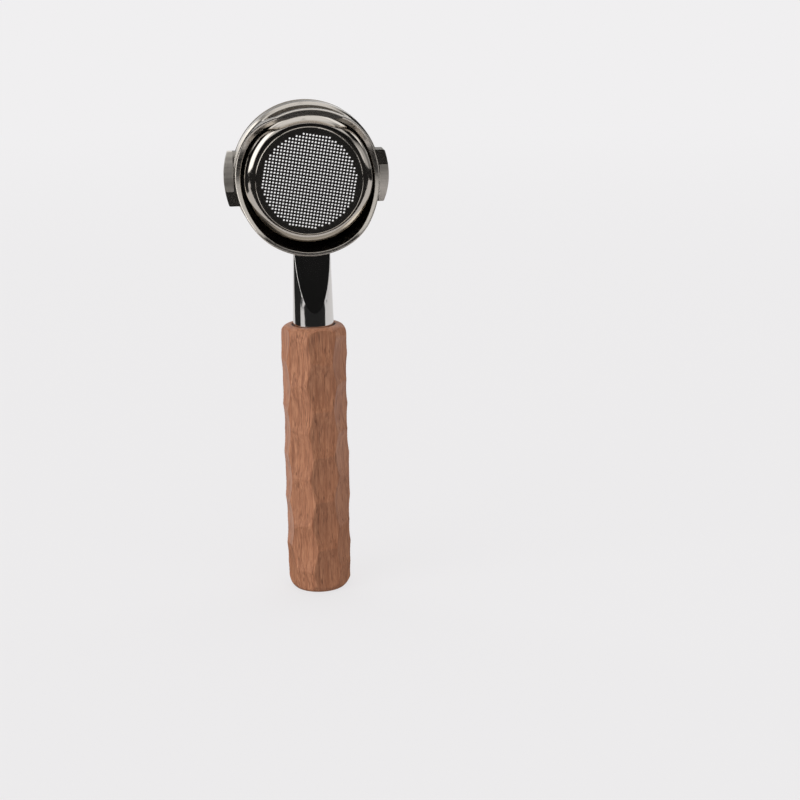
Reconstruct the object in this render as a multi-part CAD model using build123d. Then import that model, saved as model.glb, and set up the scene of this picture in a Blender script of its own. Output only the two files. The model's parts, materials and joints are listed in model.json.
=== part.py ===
from build123d import *
import math
import os
import random

# Bottomless portafilter for a 58 mm coffee group, standing upright on the flat end of its handle.
# Millimetres, +Z up. The origin is the centre of the handle's flat end. The open, spoutless side of the
# head faces -Y, the coffee side faces +Y and the locking lugs point along +X and -X.
#
# The head is drawn in its own frame: Z runs from the rim face (coffee side, 0) to the open side, -Y points
# at the handle and +Y at the foot arch. head_place stands it on the neck.

# --- Driving dimensions ---------------------------------------------------------------------------
handle_length = 132.0
handle_radius = 15.8
handle_shoulder = 4.5          # rounding at the neck end
foot_inset = 3.0               # rounding round the flat end: its width
foot_height = 7.0              # and its height

scoop_columns = 8              # carved flats round the handle
scoop_rows = 7
scoop_pitch = 23.2             # along the handle
scoop_start = -12.2            # height of the lowest scoops' middle
scoop_turn = 9.5               # degrees, from +X to the first column
scoop_depth = 2.1
scoop_depth_play = 0.15
scoop_turn_play = 3.0
scoop_height_play = 1.0
scoop_tool_radius = 58.0
scoop_seed = 11

rim_radius = 35.0
rim_height = 8.0
rim_lead_height = 2.4          # cone at the rim face
rim_lead = 0.7
wall_radius = 34.2
bore_radius = 31.0             # round the basket, at the rim
mouth_radius = 31.7            # of the wider bore in the open side
mouth_shift = 0.6              # its axis lies this far towards the handle, so the arch is thicker
mouth_from = 7.2               # height where the bore begins to widen
mouth_cone = 1.5               # width and height of the cone there
head_height = 28.0             # at the handle and across the foot arch
edge_break = 0.6               # at the mouth of the bore
outer_rounding = 0.7           # of the wall's shaped edge and the window
inner_rounding = 0.25
cut_edges_from = 9.5           # above this height only shaped edges lie on the wall's two cylinders
edge_tolerance = 0.02
cutter_room = 5.0              # how far cutters reach past what they cut

groove_low = 4.6               # retaining spring groove
groove_height = 1.3
groove_depth = 1.0

dip_height = 11.2              # lowest point of the wall, beside the foot arch
dip_at = 10.0
arch_start = 29.6              # where the foot arch's flat edge begins, from the head's axis

window_sill = 10.5
window_top = 24.0
window_sill_half = 22.0
window_top_half = 14.5
window_corner = 3.0

lug_radius = 39.1
lug_half = 12.6                # half the distance between a lug's two flat ends
lug_drop = 0.7                 # both lugs lie this far towards the handle
lug_low = 1.2
lug_thin = 4.4                 # thickness at the lead-in end
lug_thick = 7.6
lug_flat = 7.0                 # length at full thickness, before the ramp curves down
lug_corner = 0.8
lug_root = 33.0                # inside the wall, where a lug's section begins
lug_sector = 90.0              # degrees of ring that a lug is cut from

handle_droop = 4.0             # degrees between the handle and the plane of the rim
neck_height_on_head = 24.2     # where the handle's axis meets the wall, above the rim face
neck_length = 33.0             # visible, from the grip to the wall
neck_base_radius = 9.75
neck_top_radius = 8.8
blade_half = 2.8               # half thickness where the neck meets the wall
facet_length = 23.5
facet_rounding = 0.3
neck_overrun = 6.0             # of the uncut neck beyond the wall's line
tenon_inset = 0.8
tenon_depth = 1.2
tenon_side = 30.0              # of the block that the tongue is cut from

recess_radius = 10.4           # counterbore in the grip round the neck's foot
recess_depth = 2.6
washer_thickness = 1.0
washer_inset = 0.4             # inside the neck's foot
washer_bore = 5.4
washer_gap = 1.4
seal_below_face = 0.6

stud_radius = 5.0
stud_in_neck = 14.0
stud_in_insert = 20.0
stud_point = 1.0               # bevel on both ends, and the room beyond the stud's end in the neck
thread_gap = 0.05
insert_radius = 8.0
insert_length = 25.0
insert_room = 1.0              # left below the insert in its bore
glue_grooves = (4.0, 11.0, 18.0)
glue_groove_height = 3.0
glue_groove_depth = 0.6

spring_wire = 0.6              # radius of the retaining wire
spring_clear = 0.3             # between the wire and the basket
spring_opening = 34.0          # degrees left open in the wire ring

basket_lip_radius = 35.0
basket_lip = 0.8
basket_radius = 30.15
basket_sheet = 0.8
basket_depth = 21.5
basket_floor_radius = 24.8     # flat, perforated floor, pressed slightly proud of the corner
basket_floor_step = 0.35
basket_floor_rounding = 0.5
basket_gap = 0.05              # between the basket's lip and the rim face
perforation_radius = 22.4
hole_radius = 0.45
hole_pitch = 1.52
hole_grid_turn = -10.0

# --- Places worked out from them ------------------------------------------------------------------
wall_z = handle_length + neck_length
recess_floor = handle_length - recess_depth
neck_seat = recess_floor + washer_thickness
lug_top = lug_low + lug_thick
head_place = (Pos(0, 0, wall_z) * Rot(90 + handle_droop, 0, 0)
              * Pos(0, wall_radius, -neck_height_on_head))


def outline(*corners):
    """Flat face with straight sides through the corners, on the XY plane."""
    return make_face(Polyline(*corners, close=True))


def turned(*corners):
    """Solid turned about Z from (radius, height) corners."""
    return revolve(Plane.XZ * outline(*corners), Axis.Z)


def ring_solid(outer, inner, low, high):
    """Plain ring between two heights."""
    return Pos(0, 0, low) * extrude(Circle(outer) - Circle(inner), high - low)


# --- Head -----------------------------------------------------------------------------------------
def head_blank():
    """Rim, bore, spring groove and plain wall, before the wall's edge is shaped."""
    groove_high = groove_low + groove_height
    return turned(
        (bore_radius + edge_break, 0), (rim_radius - rim_lead, 0), (rim_radius, rim_lead_height),
        (rim_radius, rim_height), (wall_radius, rim_height + rim_radius - wall_radius),
        (wall_radius, head_height), (bore_radius, head_height), (bore_radius, groove_high),
        (bore_radius + groove_depth, groove_high), (bore_radius + groove_depth, groove_low),
        (bore_radius, groove_low), (bore_radius, edge_break))


def mouth_cut():
    """Wider bore of the open side."""
    top = head_height + cutter_room
    return Pos(0, -mouth_shift, 0) * turned(
        (0, mouth_from), (mouth_radius - mouth_cone, mouth_from), (mouth_radius, mouth_from + mouth_cone),
        (mouth_radius, top), (0, top))


def saddle_cut():
    """Everything above the wall's wavy edge, seen along X: high at the handle, low beside the arch."""
    reach = rim_radius + cutter_room
    clear = head_height + cutter_room
    wave = Spline((-27.5, head_height), (-17, 22.3), (-4, 14.4), (dip_at, dip_height), (19.5, 13.4),
                  (arch_start, head_height), tangents=[(1, -0.12), (0.42, 1)])
    sides = Polyline((arch_start, head_height), (arch_start, clear), (-reach, clear),
                     (-reach, head_height), (-27.5, head_height))
    return extrude(Plane.YZ * make_face(wave + sides), reach, both=True)


def arch_window():
    """Opening in the foot arch: wide at the sill, narrow under the bar, round corners."""
    shape = outline((-window_sill_half, window_sill), (window_sill_half, window_sill),
                    (window_top_half, window_top), (-window_top_half, window_top))
    shape = fillet(shape.vertices(), window_corner)
    return Pos(0, rim_radius + cutter_room, 0) * extrude(Plane.XZ * shape, rim_radius)


def lug():
    """Locking lug on the +X side, flat at the arch end, its top curving down towards the handle."""
    section = outline((lug_root, lug_low), (lug_radius, lug_low), (lug_radius, lug_top),
                      (lug_root, lug_top))
    sector = revolve(Plane.XZ * section, Axis.Z, revolution_arc=lug_sector)
    body = Rot(0, 0, -lug_sector / 2) * sector
    body = body & Pos(lug_radius, 0, 0) * Box(lug_radius, 2 * lug_half, 4 * lug_top)
    corners = body.edges().filter_by(Axis.Z).filter_by(lambda e: e.center().X > rim_radius)
    body = fillet(corners, lug_corner)
    ramp = TangentArc((lug_half - lug_flat, lug_top), (-lug_half, lug_low + lug_thin), tangent=(-1, 0))
    past = -lug_half - cutter_room
    above = Polyline(ramp @ 1, (past, lug_low + lug_thin), (past, 2 * lug_top),
                     (lug_half - lug_flat, 2 * lug_top), ramp @ 0)
    return body - extrude(Plane.YZ * make_face(ramp + above), 2 * lug_radius)


def rounded(body, radius, shift, rounding):
    """The same body with the cut edges that lie on one of the wall's two cylinders rounded."""
    def on_cylinder(edge):
        points = [edge @ share for share in (0, 0.25, 0.5, 0.75, 1)]
        return all(abs(math.hypot(p.X, p.Y + shift) - radius) < edge_tolerance and p.Z > cut_edges_from
                   for p in points)
    return fillet(body.edges().filter_by(on_cylinder), rounding)


def head():
    """Whole head, standing on the neck."""
    body = rounded(head_blank() - mouth_cut() - saddle_cut(), mouth_radius, mouth_shift, inner_rounding)
    body = rounded(body - arch_window(), wall_radius, 0, outer_rounding)
    for turn in (0, 180):
        body = body + Pos(0, -lug_drop, 0) * Rot(0, 0, turn) * lug()
    return head_place * body - tenon()


# --- Neck -----------------------------------------------------------------------------------------
def neck_blank(inset=0.0):
    """Round tapered neck with a sloping flat on both faces, running on past the head's wall."""
    top = wall_z + neck_overrun
    slope = (neck_top_radius - blade_half) / facet_length
    taper = (neck_base_radius - neck_top_radius) / (wall_z - neck_seat)
    cone = turned((0, neck_seat), (neck_base_radius - inset, neck_seat),
                  (neck_base_radius - inset - taper * (top - neck_seat), top), (0, top))
    wide = neck_base_radius + cutter_room
    wide_z = wall_z - (wide - blade_half + inset) / slope
    tip = blade_half - inset - slope * neck_overrun
    wedge = outline((-wide, neck_seat), (wide, neck_seat), (wide, wide_z), (tip, top), (-tip, top),
                    (-wide, wide_z))
    return cone & extrude(Plane.YZ * wedge, wide, both=True)


def softened(blank):
    """The neck with the rims of its two flats slightly rounded, as polishing leaves them."""
    return fillet(blank.edges().filter_by(GeomType.ELLIPSE), facet_rounding)


def wall_cylinder(radius):
    """Solid cylinder about the head's axis."""
    return head_place * Pos(0, 0, head_height / 2) * Cylinder(radius, 3 * head_height)


def tenon():
    """Tongue on the neck's end that is brazed into a blind pocket in the wall."""
    block = Pos(0, 0, wall_z) * Box(tenon_side, tenon_side, 2 * neck_overrun)
    tongue = neck_blank(tenon_inset) & block & wall_cylinder(wall_radius)
    return tongue - wall_cylinder(wall_radius - tenon_depth)


def neck():
    """Neck with its tongue and the blind threaded hole for the stud."""
    body = softened(neck_blank()) - wall_cylinder(wall_radius) + tenon()
    hole_top = neck_seat + stud_in_neck
    hole_foot = neck_seat - cutter_room
    hole = turned((0, hole_foot), (stud_radius, hole_foot), (stud_radius, hole_top),
                  (0, hole_top + stud_radius / 2))
    return body - hole


# --- Handle ---------------------------------------------------------------------------------------
def grip_blank():
    """Round grip with both ends rounded, before it is carved."""
    foot_arc = (foot_inset ** 2 + foot_height ** 2) / (2 * foot_inset)
    side = Line((handle_radius, foot_height), (handle_radius, handle_length - handle_shoulder))
    shoulder = RadiusArc(side @ 1, (handle_radius - handle_shoulder, handle_length), -handle_shoulder)
    foot = RadiusArc((handle_radius - foot_inset, 0), side @ 0, -foot_arc)
    rest = Polyline(shoulder @ 1, (0, handle_length), (0, 0), foot @ 0)
    return revolve(Plane.XZ * make_face(foot + side + shoulder + rest), Axis.Z)


def carved(body):
    """Overlapping shallow scoops in a brick pattern, each a little out of step, as cut by hand."""
    hand = random.Random(scoop_seed)
    for column in range(scoop_columns):
        for row in range(scoop_rows):
            turn = 360 / scoop_columns * column + scoop_turn + hand.uniform(-scoop_turn_play, scoop_turn_play)
            height = scoop_start + scoop_pitch * (row + 0.5 * (column % 2))
            height = height + hand.uniform(-scoop_height_play, scoop_height_play)
            depth = scoop_depth + hand.uniform(-scoop_depth_play, scoop_depth_play)
            reach = handle_radius - depth + scoop_tool_radius
            body = body - Rot(0, 0, turn) * Pos(reach, 0, height) * Sphere(scoop_tool_radius)
    return body


def grip():
    """Carved grip with the insert's bore and the recess round the neck."""
    bore_foot = recess_floor - insert_length - insert_room
    bore = turned((0, bore_foot), (insert_radius, bore_foot), (insert_radius, recess_floor),
                  (recess_radius, recess_floor), (recess_radius, handle_length + cutter_room),
                  (0, handle_length + cutter_room))
    return carved(grip_blank()) - bore


def insert():
    """Brass insert with glue grooves, glued into the grip."""
    low = recess_floor - insert_length
    body = ring_solid(insert_radius, stud_radius, low, recess_floor)
    for height in glue_grooves:
        foot = low + height
        body = body - ring_solid(insert_radius + cutter_room, insert_radius - glue_groove_depth, foot,
                                 foot + glue_groove_height)
    return body


def stud():
    """Plain-shanked stand-in for the M10 stud between neck and insert."""
    radius = stud_radius - thread_gap
    low = neck_seat - stud_in_insert
    high = neck_seat + stud_in_neck - stud_point
    return turned((0, low), (radius - stud_point, low), (radius, low + stud_point),
                  (radius, high - stud_point), (radius - stud_point, high), (0, high))


def washer():
    """Split locking washer under the neck's foot."""
    outer = neck_base_radius - washer_inset
    ring = ring_solid(outer, washer_bore, recess_floor, neck_seat)
    slot = Box(outer, washer_gap, 4 * washer_thickness)
    return ring - Pos(washer_bore / 2 + outer / 2, 0, neck_seat) * slot


def seal():
    """Soft ring that closes the gap between the neck's foot and the grip."""
    return ring_solid(recess_radius, neck_base_radius, neck_seat, handle_length - seal_below_face)


# --- Spring and basket ----------------------------------------------------------------------------
def retaining_spring():
    """Open wire ring resting in the head's groove, its gap towards the foot arch."""
    centre = basket_radius + spring_clear + spring_wire
    wire = Plane.XZ * Pos(centre, groove_low + groove_height / 2) * Circle(spring_wire)
    ring = revolve(wire, Axis.Z, revolution_arc=360 - spring_opening)
    return head_place * Rot(0, 0, 90 + spring_opening / 2) * ring


def basket_shell():
    """Drawn cup with a flat lip and a slightly proud floor, before the floor is perforated."""
    lip_low = -basket_gap - basket_lip
    inner = basket_radius - basket_sheet
    floor_low = basket_depth - basket_sheet
    ledge = basket_depth - basket_floor_step
    rise = math.acos(1 - basket_floor_step / basket_floor_rounding)
    step_radius = basket_floor_radius + basket_floor_rounding * math.sin(rise)
    corner = basket_radius - step_radius
    inner_corner = corner - basket_sheet
    wall_arc = RadiusArc((basket_radius, ledge - corner), (step_radius, ledge), -corner)
    step_arc = RadiusArc((step_radius, ledge), (basket_floor_radius, basket_depth), -basket_floor_rounding)
    inner_arc = RadiusArc((step_radius, ledge - basket_sheet), (inner, ledge - corner), inner_corner)
    outside = Polyline((inner, lip_low), (basket_lip_radius, lip_low), (basket_lip_radius, -basket_gap),
                       (basket_radius, -basket_gap), wall_arc @ 0)
    floor = Polyline(step_arc @ 1, (0, basket_depth), (0, floor_low), (basket_floor_radius, floor_low),
                     inner_arc @ 0)
    inside = Line(inner_arc @ 1, (inner, lip_low))
    return revolve(Plane.XZ * make_face(outside + wall_arc + step_arc + floor + inner_arc + inside), Axis.Z)


def basket():
    """Perforated basket, seated in the head."""
    reach = math.ceil(perforation_radius / hole_pitch)
    steps = [hole_pitch * step for step in range(-reach, reach + 1)]
    punches = [Pos(x, y, basket_depth) * Cylinder(hole_radius, 4 * basket_sheet)
               for x in steps for y in steps if math.hypot(x, y) < perforation_radius]
    return head_place * Rot(0, 0, hole_grid_turn) * (basket_shell() - punches)


# --- One STEP file per piece ----------------------------------------------------------------------
pieces = {
    "portafilter_head": head(),
    "neck": neck(),
    "neck_seal": seal(),
    "lock_washer": washer(),
    "handle_stud": stud(),
    "threaded_insert": insert(),
    "handle_grip": grip(),
    "retaining_spring": retaining_spring(),
    "filter_basket": basket(),
}
os.makedirs("parts", exist_ok=True)
for name, solid in pieces.items():
    export_step(solid, f"parts/{name}.step")
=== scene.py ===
import json
import math
import random

import bpy
import numpy as np
from mathutils import Matrix, Vector


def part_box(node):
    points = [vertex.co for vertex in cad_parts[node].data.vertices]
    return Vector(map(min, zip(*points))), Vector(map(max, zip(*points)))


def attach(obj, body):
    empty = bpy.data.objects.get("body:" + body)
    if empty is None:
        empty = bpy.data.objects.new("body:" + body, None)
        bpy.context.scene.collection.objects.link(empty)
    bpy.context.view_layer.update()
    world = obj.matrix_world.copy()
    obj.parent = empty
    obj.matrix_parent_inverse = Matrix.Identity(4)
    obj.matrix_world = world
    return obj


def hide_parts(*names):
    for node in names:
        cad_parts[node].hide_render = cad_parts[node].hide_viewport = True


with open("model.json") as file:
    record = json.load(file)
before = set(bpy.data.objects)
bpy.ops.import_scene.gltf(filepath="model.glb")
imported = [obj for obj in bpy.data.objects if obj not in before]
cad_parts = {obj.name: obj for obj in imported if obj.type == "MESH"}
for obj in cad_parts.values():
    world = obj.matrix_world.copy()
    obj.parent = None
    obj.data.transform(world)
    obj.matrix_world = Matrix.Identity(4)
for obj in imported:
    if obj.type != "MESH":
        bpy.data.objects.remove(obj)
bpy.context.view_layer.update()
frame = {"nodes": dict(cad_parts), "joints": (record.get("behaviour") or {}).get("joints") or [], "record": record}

MM = 0.001

# --- What the frame says about the object -----------------------------------------------------------
LUG_MOUNT_DEPTH = 8.8 * MM          # from the rim's face to the mount group_lugs, towards the open side

mounts = {mount["name"]: mount for mount in frame["record"]["mounts"]}
head_axis = Vector(frame["joints"][0]["axis"]).normalized()      # towards the coffee side
rim_centre = Vector(mounts["group_lugs"]["pos_m"]) + head_axis * LUG_MOUNT_DEPTH
head_tilt = math.atan2(head_axis.y, -head_axis.z)                # turn about X from +Z to the open side
grip_low, grip_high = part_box("handle_grip")


# --- Node helpers -----------------------------------------------------------------------------------
class Graph:
    """A node tree, with short calls for the nodes used here."""

    def __init__(self, name=None, tree=None):
        """A new material of that name, or the tree that is given."""
        if name:
            self.material = bpy.data.materials.new(name)
            self.material.use_nodes = True
            tree = self.material.node_tree
        self.tree = tree
        tree.nodes.clear()
        if name:
            self.output = self.add("ShaderNodeOutputMaterial")

    def add(self, kind, inputs=None, **settings):
        node = self.tree.nodes.new(kind)
        for name, value in settings.items():
            setattr(node, name, value)
        for name, value in (inputs or {}).items():
            if isinstance(value, bpy.types.NodeSocket):
                self.tree.links.new(value, node.inputs[name])
            else:
                node.inputs[name].default_value = value
        return node

    def math(self, operation, a, b=0.0, c=0.0):
        return self.add("ShaderNodeMath", {0: a, 1: b, 2: c}, operation=operation).outputs[0]

    def spread(self, field, middle, width):
        """A field from 0 to 1, turned into values spread evenly about a middle."""
        return self.math("MULTIPLY_ADD", field, width, middle - width / 2)

    def distance(self, x, y):
        """How far a point is from the Z axis."""
        return self.math("SQRT", self.math("ADD", self.math("MULTIPLY", x, x), self.math("MULTIPLY", y, y)))

    def place(self, location=(0, 0, 0), rotation=(0, 0, 0)):
        """Object coordinates, read in a frame that sits at location with that turn, in metres."""
        coordinates = self.add("ShaderNodeTexCoord").outputs["Object"]
        node = self.add("ShaderNodeMapping", {"Vector": coordinates}, vector_type="TEXTURE")
        node.inputs["Location"].default_value = location
        node.inputs["Rotation"].default_value = rotation
        return node.outputs[0]

    def stretch(self, vector, scale):
        """Coordinates that draw a pattern out along the axes whose scale is under 1."""
        node = self.add("ShaderNodeMapping", {"Vector": vector}, vector_type="POINT")
        node.inputs["Scale"].default_value = scale
        return node.outputs[0]

    def split(self, vector):
        node = self.add("ShaderNodeSeparateXYZ", {0: vector})
        return [node.outputs[axis] for axis in "XYZ"]

    def noise(self, vector, scale, detail=3.0, roughness=0.5, distortion=0.0):
        """Noise from 0 to 1; the scale is in features per metre."""
        node = self.add("ShaderNodeTexNoise", {
            "Vector": vector, "Scale": scale, "Detail": detail, "Roughness": roughness,
            "Distortion": distortion})
        return node.outputs[0]

    def ramp(self, value, stops):
        """Grey ramp through (position, grey) stops."""
        node = self.add("ShaderNodeValToRGB", {0: value})
        elements = node.color_ramp.elements
        while len(elements) < len(stops):
            elements.new(0.5)
        for element, (position, grey) in zip(elements, stops):
            element.position = position
            element.color = (grey, grey, grey, 1)
        return node.outputs[0]

    def mix(self, factor, a, b):
        return self.add("ShaderNodeMix", {0: factor, 6: a, 7: b}, data_type="RGBA").outputs[2]

    def mix_values(self, factor, a, b):
        return self.add("ShaderNodeMix", {0: factor, 2: a, 3: b}).outputs[0]

    def fade(self, value, start, end, least=0.0):
        """Smooth step from least at start to 1 at end."""
        inputs = {"Value": value, "From Min": start, "From Max": end, "To Min": least}
        return self.add("ShaderNodeMapRange", inputs, interpolation_type="SMOOTHSTEP").outputs[0]

    def bump(self, height, distance):
        return self.add("ShaderNodeBump", {"Height": height, "Distance": distance}).outputs[0]

    def surface(self, **inputs):
        named = {name.replace("_", " "): value for name, value in inputs.items()}
        shader = self.add("ShaderNodeBsdfPrincipled", named)
        self.tree.links.new(shader.outputs[0], self.output.inputs[0])
        return self.material


def colour(red, green, blue):
    """Scene-linear RGBA from 0-255 display values."""
    def linear(value):
        value /= 255
        return value / 12.92 if value <= 0.04045 else ((value + 0.055) / 1.055) ** 2.4
    return (linear(red), linear(green), linear(blue), 1)


def paint(node, material):
    mesh = frame["nodes"][node].data
    mesh.materials.clear()
    mesh.materials.append(material)


# --- Metals -----------------------------------------------------------------------------------------
# The head's own frame has its origin at the rim's centre, +Z to the open side and +Y away from the handle.
RAMP_FROM = 34.7 * MM               # the lugs' milled ramps: further out than this,
RAMP_END = 5.6 * MM                 # up to where the flat starts
LUG_DROP = 0.7 * MM                 # on lugs that lie this far towards the handle
MOUTH_RADIUS = 31.76 * MM           # the wall's cut edges: outside this radius
MOUTH_SHIFT = 0.6 * MM              # about the mouth's axis, which lies this far towards the handle,
WALL_RADIUS = 34.14 * MM            # inside this radius about the head's axis,
EDGE_FROM = 9.0 * MM                # and further than this from the rim's face

TINT_SCALE = 25                     # slow drift of the steel's tint
GLOSS_SCALE = 45                    # slow drift of its gloss
LINE_SHARE = 0.6                    # what the lathe lines do to the gloss, against that drift
PASS_SCALE = 900                    # a cutter's passes over the milled and cut faces
PASS_STRETCH = (0.02, 1, 0.02)
RAMP_ROUGH = (0.42, 0.3)            # roughness, middle and width
EDGE_ROUGH = (0.27, 0.2)
# painted highlight: a lighter tint on the ramps' cutter passes, where the lugs catch light from above
RAMP_HIGHLIGHT_TINT = colour(244, 238, 230)

SMEAR_SCALE = 90                    # wiping marks on buffed metal
SMEAR_STRETCH = (1, 1, 0.25)
SCRATCH_SCALE = 4000
SCRATCH_STRETCH = (1, 1, 0.08)

BRASS_SCALE = 300
RUBBER_SCALE = 2500
RUBBER_GRAIN = 0.03 * MM


def milled_ramps(g, x, y):
    """1 on the two lugs' ramps, which lie half a turn apart, and 0 elsewhere."""
    outside = g.math("GREATER_THAN", g.math("ABSOLUTE", x), RAMP_FROM)
    along = g.math("MULTIPLY", g.math("ADD", y, LUG_DROP), g.math("SIGN", x))
    return g.math("MULTIPLY", outside, g.math("LESS_THAN", along, RAMP_END))


def cut_edges(g, x, y, z):
    """1 on the wall's wavy edge, the arch's edge and the window's sides, and 0 elsewhere."""
    outside = g.math("GREATER_THAN", g.distance(x, g.math("ADD", y, MOUTH_SHIFT)), MOUTH_RADIUS)
    inside = g.math("LESS_THAN", g.distance(x, y), WALL_RADIUS)
    above = g.math("GREATER_THAN", z, EDGE_FROM)
    return g.math("MULTIPLY", g.math("MULTIPLY", outside, inside), above)


def machined_faces(g, local, rough, tone):
    """Roughness and tone with the lugs' matt ramps, tinted lighter as a painted highlight, and the wall's brushed
    edges added.
    """
    x, y, z = g.split(local)
    passes = g.noise(g.stretch(local, PASS_STRETCH), PASS_SCALE, detail=2)
    ramps = milled_ramps(g, x, y)
    rough = g.mix_values(ramps, rough, g.spread(passes, *RAMP_ROUGH))
    rough = g.mix_values(cut_edges(g, x, y, z), rough, g.spread(passes, *EDGE_ROUGH))
    # the ramps' lighter tint is painted highlight; their matt roughness and cutter passes are the milled finish
    return rough, g.mix(g.math("MULTIPLY", ramps, passes), tone, RAMP_HIGHLIGHT_TINT)


def turned_metal(name, tint, shade, rough, rough_swing, line_scale, line_depth, machined=False):
    """Stainless turned about the head's axis: lathe lines run round it, tint and gloss drift a little."""
    g = Graph(name)
    local = g.place(tuple(rim_centre), (head_tilt, 0, 0))
    x, y, z = g.split(local)
    section = g.add("ShaderNodeCombineXYZ", {0: g.distance(x, y), 1: z}).outputs[0]
    lines = g.noise(section, line_scale, detail=2)
    drift = g.spread(g.noise(local, GLOSS_SCALE), rough, rough_swing)
    gloss = g.math("ADD", drift, g.spread(lines, 0.0, rough_swing * LINE_SHARE))
    tone = g.mix(g.noise(local, TINT_SCALE, detail=2), shade, tint)
    if machined:
        gloss, tone = machined_faces(g, local, gloss, tone)
    return g.surface(Base_Color=tone, Metallic=1.0, Roughness=gloss, Normal=g.bump(lines, line_depth))


def polished_metal(name, tint, rough, rough_swing, scratch_depth):
    """Buffed metal: near mirror, with faint wiping marks in its gloss."""
    g = Graph(name)
    local = g.place()
    smear = g.noise(g.stretch(local, SMEAR_STRETCH), SMEAR_SCALE, detail=4, roughness=0.6)
    fine = g.noise(g.stretch(local, SCRATCH_STRETCH), SCRATCH_SCALE, detail=2)
    return g.surface(Base_Color=tint, Metallic=1.0, Roughness=g.spread(smear, rough, rough_swing),
                     Normal=g.bump(fine, scratch_depth))


def brass():
    g = Graph("insert_brass")
    cloud = g.noise(g.place(), BRASS_SCALE, detail=4)
    tone = g.mix(cloud, colour(176, 138, 70), colour(214, 178, 104))
    return g.surface(Base_Color=tone, Metallic=1.0, Roughness=g.spread(cloud, 0.3, 0.2))


def rubber():
    g = Graph("seal_rubber")
    grain = g.noise(g.place(), RUBBER_SCALE)
    tone = g.mix(grain, colour(22, 21, 20), colour(38, 36, 34))
    return g.surface(Base_Color=tone, Roughness=g.spread(grain, 0.65, 0.2),
                     Normal=g.bump(grain, RUBBER_GRAIN))


# --- Walnut -----------------------------------------------------------------------------------------
HEART = (-55 * MM, 30 * MM)         # where the tree's heart lies beside the handle
RING_SPACING = 3.2 * MM
RING_DRIFT = 9 * MM                 # how far a ring wanders along the handle
RING_SHADES = [(0.0, 0.2), (0.6, 0.45), (0.88, 1.0), (1.0, 0.2)]      # over one year's growth
DRIFT_SCALE = 60
CLOUD_SCALE = 30
STREAK_SCALE = 950
FIBRE_SCALE = 2600
PORE_SCALE = 1700
SLOW_STRETCH = (1, 1, 0.14)         # everything runs along Z
STREAK_STRETCH = (1, 1, 0.08)
FIBRE_STRETCH = (1, 1, 0.07)
PORE_DEPTH = 0.04 * MM
FIBRE_SHARE = 0.4                   # how high a fibre stands, against a pore's depth

WOOD_LIGHT = colour(181, 129, 97)
WOOD_LATE = colour(157, 105, 76)
WOOD_CLOUD = colour(146, 94, 66)
WOOD_DARK = colour(97, 55, 38)
WOOD_PORE = colour(66, 36, 26)


def walnut():
    """Oiled walnut sawn along the grain: growth rings about a far heart, fibres and pores along Z."""
    g = Graph("walnut")
    local = g.place()
    slow = g.stretch(local, SLOW_STRETCH)
    x, y, _ = g.split(local)
    from_heart = g.distance(g.math("SUBTRACT", x, HEART[0]), g.math("SUBTRACT", y, HEART[1]))
    wavy = g.math("ADD", from_heart, g.spread(g.noise(slow, DRIFT_SCALE), 0.0, RING_DRIFT))
    ring = g.ramp(g.math("FRACT", g.math("DIVIDE", wavy, RING_SPACING)), RING_SHADES)
    streak = g.noise(g.stretch(local, STREAK_STRETCH), STREAK_SCALE, detail=4, roughness=0.6, distortion=0.4)
    fibre = g.noise(g.stretch(local, FIBRE_STRETCH), FIBRE_SCALE, roughness=0.55)
    pore_field = g.noise(g.stretch(local, FIBRE_STRETCH), PORE_SCALE, detail=1, roughness=0.4)
    pores = g.ramp(pore_field, [(0.62, 0.0), (0.70, 1.0)])
    cloud = g.noise(slow, CLOUD_SCALE, detail=2)

    tone = g.mix(ring, WOOD_LIGHT, WOOD_LATE)
    tone = g.mix(g.ramp(streak, [(0.35, 0.5), (0.6, 0.0)]), tone, WOOD_DARK)
    tone = g.mix(g.ramp(fibre, [(0.4, 0.42), (0.6, 0.0)]), tone, WOOD_DARK)
    tone = g.mix(g.ramp(cloud, [(0.4, 0.0), (0.7, 0.4)]), tone, WOOD_CLOUD)
    tone = g.mix(g.math("MULTIPLY", pores, 0.45), tone, WOOD_PORE)

    height = g.math("SUBTRACT", g.math("MULTIPLY", fibre, FIBRE_SHARE), pores)
    gloss = g.math("ADD", g.math("MULTIPLY", pores, 0.2), g.spread(streak, 0.455, 0.15))
    return g.surface(Base_Color=tone, Roughness=gloss, Specular_IOR_Level=0.3,
                     Normal=g.bump(height, PORE_DEPTH))


# --- Carved grip, in millimetres --------------------------------------------------------------------
GRIP_RADIUS = 15.8
GRIP_SHOULDER = 4.5
FOOT_INSET = 3.0                    # rounding round the flat end: its width and height
FOOT_HEIGHT = 7.0
FOOT_RADII = (0.0, 3.0, 6.0, 9.0, 11.5, 12.4)      # the mesh's circles on the flat end
RECESS_RADIUS = 10.4
RECESS_DEPTH = 2.6
LIP_RADIUS = 0.4                    # rounding of the recess's edge
CARVED_FROM = 10.9                  # the recess and its edge, inside this radius, are never carved

SCOOP_COLUMNS = 8
SCOOP_ROWS = 7
SCOOP_PITCH = 23.2
SCOOP_START = -12.2                 # height of the lowest scoops' middle
SCOOP_TURN = 9.5
SCOOP_DEPTH = 2.1
SCOOP_TOOL = 58.0
SCOOP_SEED = 11
TURN_JITTER = 3                     # how far the hand strays: in degrees round the handle,
HEIGHT_JITTER = 1                   # along it,
DEPTH_JITTER = 0.15                 # and in depth
UNCUT = 99.0                        # any radius past the blank's
RIDGE_SOFTNESS = 0.07
RIDGE_WEAR = 0.7                    # how far ridges are taken down, of what a full smooth minimum does

ROUND_STEPS = 256                   # the mesh's divisions
SIDE_STEP = 0.36
FOOT_STEPS = 20
SHOULDER_STEPS = 18
LIP_STEPS = 4


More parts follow.
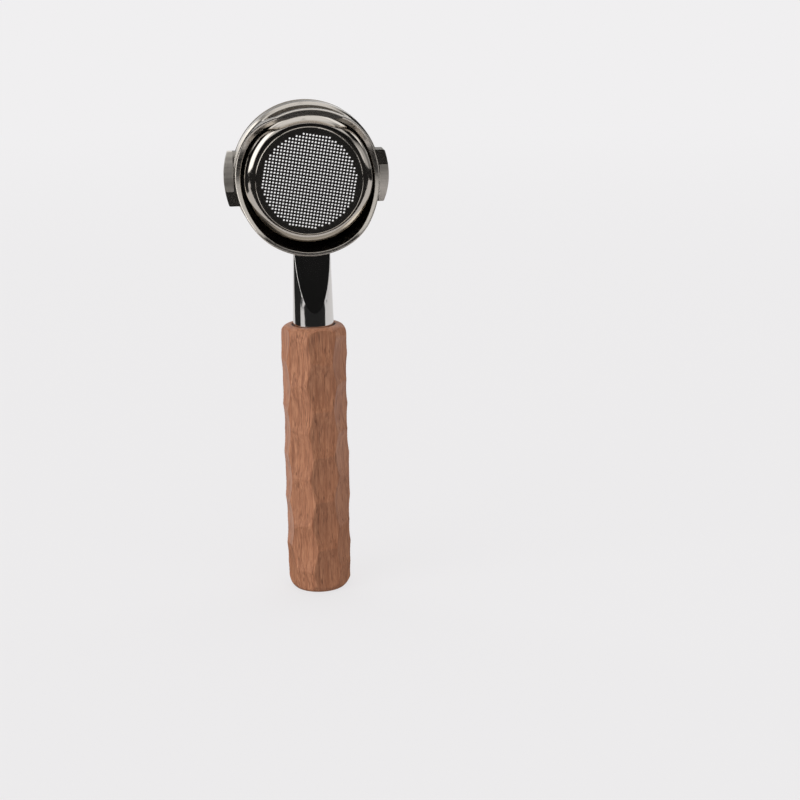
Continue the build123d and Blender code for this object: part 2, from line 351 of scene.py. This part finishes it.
def scoop_tools():
    """Centres of the round cutters: a brick pattern, a little out of step."""
    hand = random.Random(SCOOP_SEED)
    centres = []
    for column in range(SCOOP_COLUMNS):
        for row in range(SCOOP_ROWS):
            turn = 360 / SCOOP_COLUMNS * column + SCOOP_TURN + hand.uniform(-TURN_JITTER, TURN_JITTER)
            height = SCOOP_START + SCOOP_PITCH * (row + 0.5 * (column % 2))
            height += hand.uniform(-HEIGHT_JITTER, HEIGHT_JITTER)
            reach = GRIP_RADIUS - SCOOP_DEPTH + SCOOP_TOOL - hand.uniform(-DEPTH_JITTER, DEPTH_JITTER)
            turn = math.radians(turn)
            centres.append((reach * math.cos(turn), reach * math.sin(turn), height))
    return centres


def carve(rho, angle, height):
    """Radius left at an angle and height once every cutter has passed, with ridges slightly softened."""
    across, along = np.cos(angle), np.sin(angle)
    cuts = [rho]
    for cx, cy, cz in scoop_tools():
        facing = cx * across + cy * along
        inside = facing ** 2 - (cx * cx + cy * cy + (height - cz) ** 2 - SCOOP_TOOL ** 2)
        cuts.append(np.where((inside > 0) & (facing > 0), facing - np.sqrt(np.maximum(inside, 0)), UNCUT))
    cuts = np.array(cuts)
    lowest = cuts.min(axis=0)
    return lowest - RIDGE_WEAR * RIDGE_SOFTNESS * np.log(np.exp((lowest - cuts) / RIDGE_SOFTNESS).sum(axis=0))


def arc(centre, radius, start, end, steps):
    """Points along an arc in the (radius, height) plane, angles in degrees."""
    turns = [math.radians(start + (end - start) * i / steps) for i in range(steps + 1)]
    return [(centre[0] + radius * math.cos(t), centre[1] + radius * math.sin(t)) for t in turns]


def grip_profile(length):
    """The turned blank from the middle of its foot round to the middle of the recess floor."""
    side_low, side_high = FOOT_HEIGHT, length - GRIP_SHOULDER
    crown_radius = GRIP_RADIUS - GRIP_SHOULDER
    foot = [(radius, 0.0) for radius in FOOT_RADII]
    foot_arc = (FOOT_INSET ** 2 + FOOT_HEIGHT ** 2) / (2 * FOOT_INSET)
    foot_start = -math.degrees(math.asin(FOOT_HEIGHT / foot_arc))
    foot += arc((GRIP_RADIUS - foot_arc, FOOT_HEIGHT), foot_arc, foot_start, 0, FOOT_STEPS)
    steps = int((side_high - side_low) / SIDE_STEP)
    side = [(GRIP_RADIUS, side_low + (side_high - side_low) * i / steps) for i in range(1, steps)]
    shoulder = arc((crown_radius, side_high), GRIP_SHOULDER, 0, 90, SHOULDER_STEPS)
    crown = [(crown_radius - LIP_RADIUS, length)]
    lip = arc((RECESS_RADIUS + LIP_RADIUS, length - LIP_RADIUS), LIP_RADIUS, 90, 180, LIP_STEPS)
    recess = [(RECESS_RADIUS, length - RECESS_DEPTH / 2), (RECESS_RADIUS, length - RECESS_DEPTH),
              (RECESS_RADIUS / 2, length - RECESS_DEPTH), (0.0, length - RECESS_DEPTH)]
    return foot + side + shoulder + crown + lip + recess


def lathe(name, profile, shape):
    """Closed mesh turned about Z from a profile whose first and last points are on the axis."""
    steps = ROUND_STEPS
    body = np.array(profile[1:-1])
    angle = np.arange(steps) * 2 * math.pi / steps
    rho, height = np.repeat(body[:, :1], steps, 1), np.repeat(body[:, 1:], steps, 1)
    turn = np.repeat(angle[None, :], len(body), 0)
    rho = shape(rho, turn, height)
    points = np.stack([rho * np.cos(turn), rho * np.sin(turn), height], -1).reshape(-1, 3)
    ends = np.array([[0, 0, profile[0][1]], [0, 0, profile[-1][1]]])
    first, last = len(points), len(points) + 1
    top = len(points) - steps
    beside = [(i, (i + 1) % steps) for i in range(steps)]
    faces = [(low + i, low + j, low + steps + j, low + steps + i)
             for low in range(0, top, steps) for i, j in beside]
    faces += [(first, j, i) for i, j in beside]
    faces += [(last, top + i, top + j) for i, j in beside]
    mesh = bpy.data.meshes.new(name)
    mesh.from_pydata((np.vstack([points, ends]) * MM).tolist(), [], faces)
    mesh.shade_smooth()
    piece = bpy.data.objects.new(name, mesh)
    bpy.context.scene.collection.objects.link(piece)
    return piece


def carved_grip():
    """Grip with its hand-cut flats; only the blank's outer skin is carved, never the recess."""
    def shape(rho, turn, height):
        outer = np.where(rho > CARVED_FROM, carve(rho, turn, height), rho)
        return np.minimum(outer, rho)

    return lathe("carved_grip", grip_profile((grip_high.z - grip_low.z) / MM), shape)


# --- Build ------------------------------------------------------------------------------------------
STEEL_TINT = colour(206, 200, 192)

steel = turned_metal("satin_steel", STEEL_TINT, colour(194, 187, 178), rough=0.16, rough_swing=0.08,
                     line_scale=1400, line_depth=0.00018 * MM, machined=True)
basket_steel = turned_metal("basket_steel", STEEL_TINT, colour(196, 189, 180), rough=0.10,
                            rough_swing=0.05, line_scale=900, line_depth=0.00015 * MM)
chrome = polished_metal("polished_neck", colour(226, 224, 221), rough=0.06, rough_swing=0.05,
                        scratch_depth=0.0008 * MM)
wire = polished_metal("spring_steel", colour(190, 186, 180), rough=0.2, rough_swing=0.1,
                      scratch_depth=0.01 * MM)
plain = polished_metal("stud_steel", colour(170, 170, 170), rough=0.3, rough_swing=0.1,
                       scratch_depth=0.01 * MM)

paint("portafilter_head", steel)
paint("filter_basket", basket_steel)
paint("neck", chrome)
paint("retaining_spring", wire)
paint("lock_washer", wire)
paint("handle_stud", plain)
paint("threaded_insert", brass())
paint("neck_seal", rubber())

grip = carved_grip()
grip.data.materials.append(walnut())
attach(grip, "holder")
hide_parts("handle_grip")


# --- Studio -----------------------------------------------------------------------------------------
BACKDROP = colour(240, 239, 240)
FLOOR_TONE = (0.80, 0.785, 0.79, 1)
FLOOR_PAINTED_SHADE = (0.02, 0.02, 0.02, 1)  # painted shade: how polished faces see the floor outside its lit parts, for the dark room and the shade round the object
FLOOR_RADIUS = 11
FLOOR_CORNERS = 128
HORIZON_NEAR = 0.4                  # the floor turns into the backdrop's tone between these distances
HORIZON_FAR = 3.0
FLOOR_GLOW = 0.8                    # share of the backdrop's even tone that the near floor has already
LIT_FLOOR_PARTS = (                          # the floor's lit parts, as polished faces see it, with painted shade between them: low and high x, y
    (-0.55, 1.0, -0.34, -0.15),
    (-0.55, -0.08, -0.15, 9.0),
    (0.12, 1.0, -0.15, 9.0),
    (-0.08, 0.12, 0.06, 9.0),
    (-0.93, -0.55, -0.50, -0.12),
)
PATCHES = (                         # azimuth (0 behind, 90 right), elevation, half sizes, soft edge, light
    (12, -8, 40, 18, 6, 0.95),
    (70, 0, 22, 20, 8, 0.25),
    (112, 0, 22, 22, 6, 0.55),
    (131, -2, 9, 15, 4, 0.9),
    (-118, 20, 22, 26, 6, 2.0),
    (12, 38, 62, 20, 4, 1.2),
    (180, 48, 55, 24, 4, 0.8),
    (0, 90, 180, 36, 10, 1.0),
)
ROOM = 0.008                        # light from every other direction
KEY_SUN = (-114, 30, 34, 1.8)       # azimuth, elevation, width in degrees, strength
SKY_SUN = (20, 80, 120, 0.3)
RIM_SUN = (84, 10, 30, 0.75)


def heading(azimuth, elevation):
    """Unit vector towards a direction, in degrees."""
    azimuth, elevation = math.radians(azimuth), math.radians(elevation)
    level = math.cos(elevation)
    return Vector((math.sin(azimuth) * level, math.cos(azimuth) * level, math.sin(elevation)))


def floor():
    """Pale floor without an end; polished faces see only its lit parts, and painted shade elsewhere."""
    g = Graph("floor")
    x, y, _ = g.split(g.place())
    seen = 0.0
    for low_x, high_x, low_y, high_y in LIT_FLOOR_PARTS:
        across = g.math("COMPARE", x, (low_x + high_x) / 2, (high_x - low_x) / 2)
        along = g.math("COMPARE", y, (low_y + high_y) / 2, (high_y - low_y) / 2)
        seen = g.math("MAXIMUM", g.math("MULTIPLY", across, along), seen)
    mirrored = g.add("ShaderNodeLightPath").outputs["Is Glossy Ray"]
    # painted shade: glossy rays see the floor dark outside its lit parts
    dark = g.math("MULTIPLY", mirrored, g.math("SUBTRACT", 1.0, seen))
    pale = g.add("ShaderNodeBsdfDiffuse", {"Color": g.mix(dark, FLOOR_TONE, FLOOR_PAINTED_SHADE)})
    haze = g.fade(g.distance(x, y), HORIZON_NEAR, HORIZON_FAR, least=FLOOR_GLOW)
    haze = g.math("MULTIPLY", haze, g.math("SUBTRACT", 1.0, mirrored))
    glow = g.add("ShaderNodeEmission", {"Color": BACKDROP})
    mixed = g.add("ShaderNodeMixShader", {0: haze, 1: pale.outputs[0], 2: glow.outputs[0]})
    g.tree.links.new(mixed.outputs[0], g.output.inputs[0])
    bpy.ops.mesh.primitive_circle_add(vertices=FLOOR_CORNERS, radius=FLOOR_RADIUS, fill_type="NGON")
    disc = bpy.context.object
    disc.name = "floor"
    disc.data.materials.append(g.material)


def studio_world():
    """Soft boxes all round as patches of light by direction, and a dark room in front of the object."""
    world = bpy.data.worlds.new("studio")
    bpy.context.scene.world = world
    world.use_nodes = True
    g = Graph(tree=world.node_tree)
    x, y, z = g.split(g.add("ShaderNodeTexCoord").outputs["Generated"])
    azimuth = g.math("DEGREES", g.math("ARCTAN2", x, y))
    elevation = g.math("DEGREES", g.math("ARCSINE", z))
    light = ROOM
    for at, height, half_width, half_height, soft, strength in PATCHES:
        aside = g.math("ABSOLUTE", g.math("WRAP", g.math("SUBTRACT", azimuth, at), 180.0, -180.0))
        above = g.math("ABSOLUTE", g.math("SUBTRACT", elevation, height))
        wide = g.fade(aside, half_width + soft, half_width - soft)
        tall = g.fade(above, half_height + soft, half_height - soft)
        patch = g.math("MULTIPLY", g.math("MULTIPLY", wide, tall), strength)
        light = g.math("MAXIMUM", patch, light)
    seen = g.add("ShaderNodeLightPath").outputs["Is Camera Ray"]
    background = g.add("ShaderNodeBackground", {"Color": g.mix(seen, light, BACKDROP)})
    g.tree.links.new(background.outputs[0], g.add("ShaderNodeOutputWorld").inputs[0])


def soft_sun(name, azimuth, elevation, width, strength):
    """Broad distant light for the matt surfaces; polished ones see only the soft boxes."""
    light = bpy.data.lights.new(name, "SUN")
    light.angle = math.radians(width)
    light.energy = strength
    lamp = bpy.data.objects.new(name, light)
    bpy.context.scene.collection.objects.link(lamp)
    lamp.rotation_euler = (-heading(azimuth, elevation)).to_track_quat("-Z", "Y").to_euler()
    lamp.visible_glossy = False
    return lamp


def spare_the_floor(lamp):
    """Let a light reach the object only, so that it throws no shadow on the floor."""
    lit = bpy.data.collections.new("lit_by_" + lamp.name)
    for piece in [*frame["nodes"].values(), grip]:
        lit.objects.link(piece)
    lamp.light_linking.receiver_collection = lit


# --- Camera -----------------------------------------------------------------------------------------
LENS = 65.07                        # in mm, for a sensor 36 mm wide
SENSOR_WIDTH = 36
CAMERA_PLACE = (-0.0609, -0.6735, 0.2749)
CAMERA_HEADING = 8.63               # degrees to the right of +Y, downwards, and about its own axis
CAMERA_PITCH = 15.02
CAMERA_ROLL = -0.60


def camera():
    data = bpy.data.cameras.new("camera")
    data.sensor_width = SENSOR_WIDTH
    data.lens = LENS
    eye = bpy.data.objects.new("camera", data)
    bpy.context.scene.collection.objects.link(eye)
    look = heading(CAMERA_HEADING, -CAMERA_PITCH)
    turn = look.to_track_quat("-Z", "Y").to_matrix() @ Matrix.Rotation(math.radians(CAMERA_ROLL), 3, "Z")
    eye.matrix_world = Matrix.Translation(CAMERA_PLACE) @ turn.to_4x4()
    bpy.context.scene.camera = eye


floor()
studio_world()
spare_the_floor(soft_sun("key", *KEY_SUN))
spare_the_floor(soft_sun("rim", *RIM_SUN))
soft_sun("sky", *SKY_SUN)
camera()
bpy.context.scene.view_settings.view_transform = "Standard"
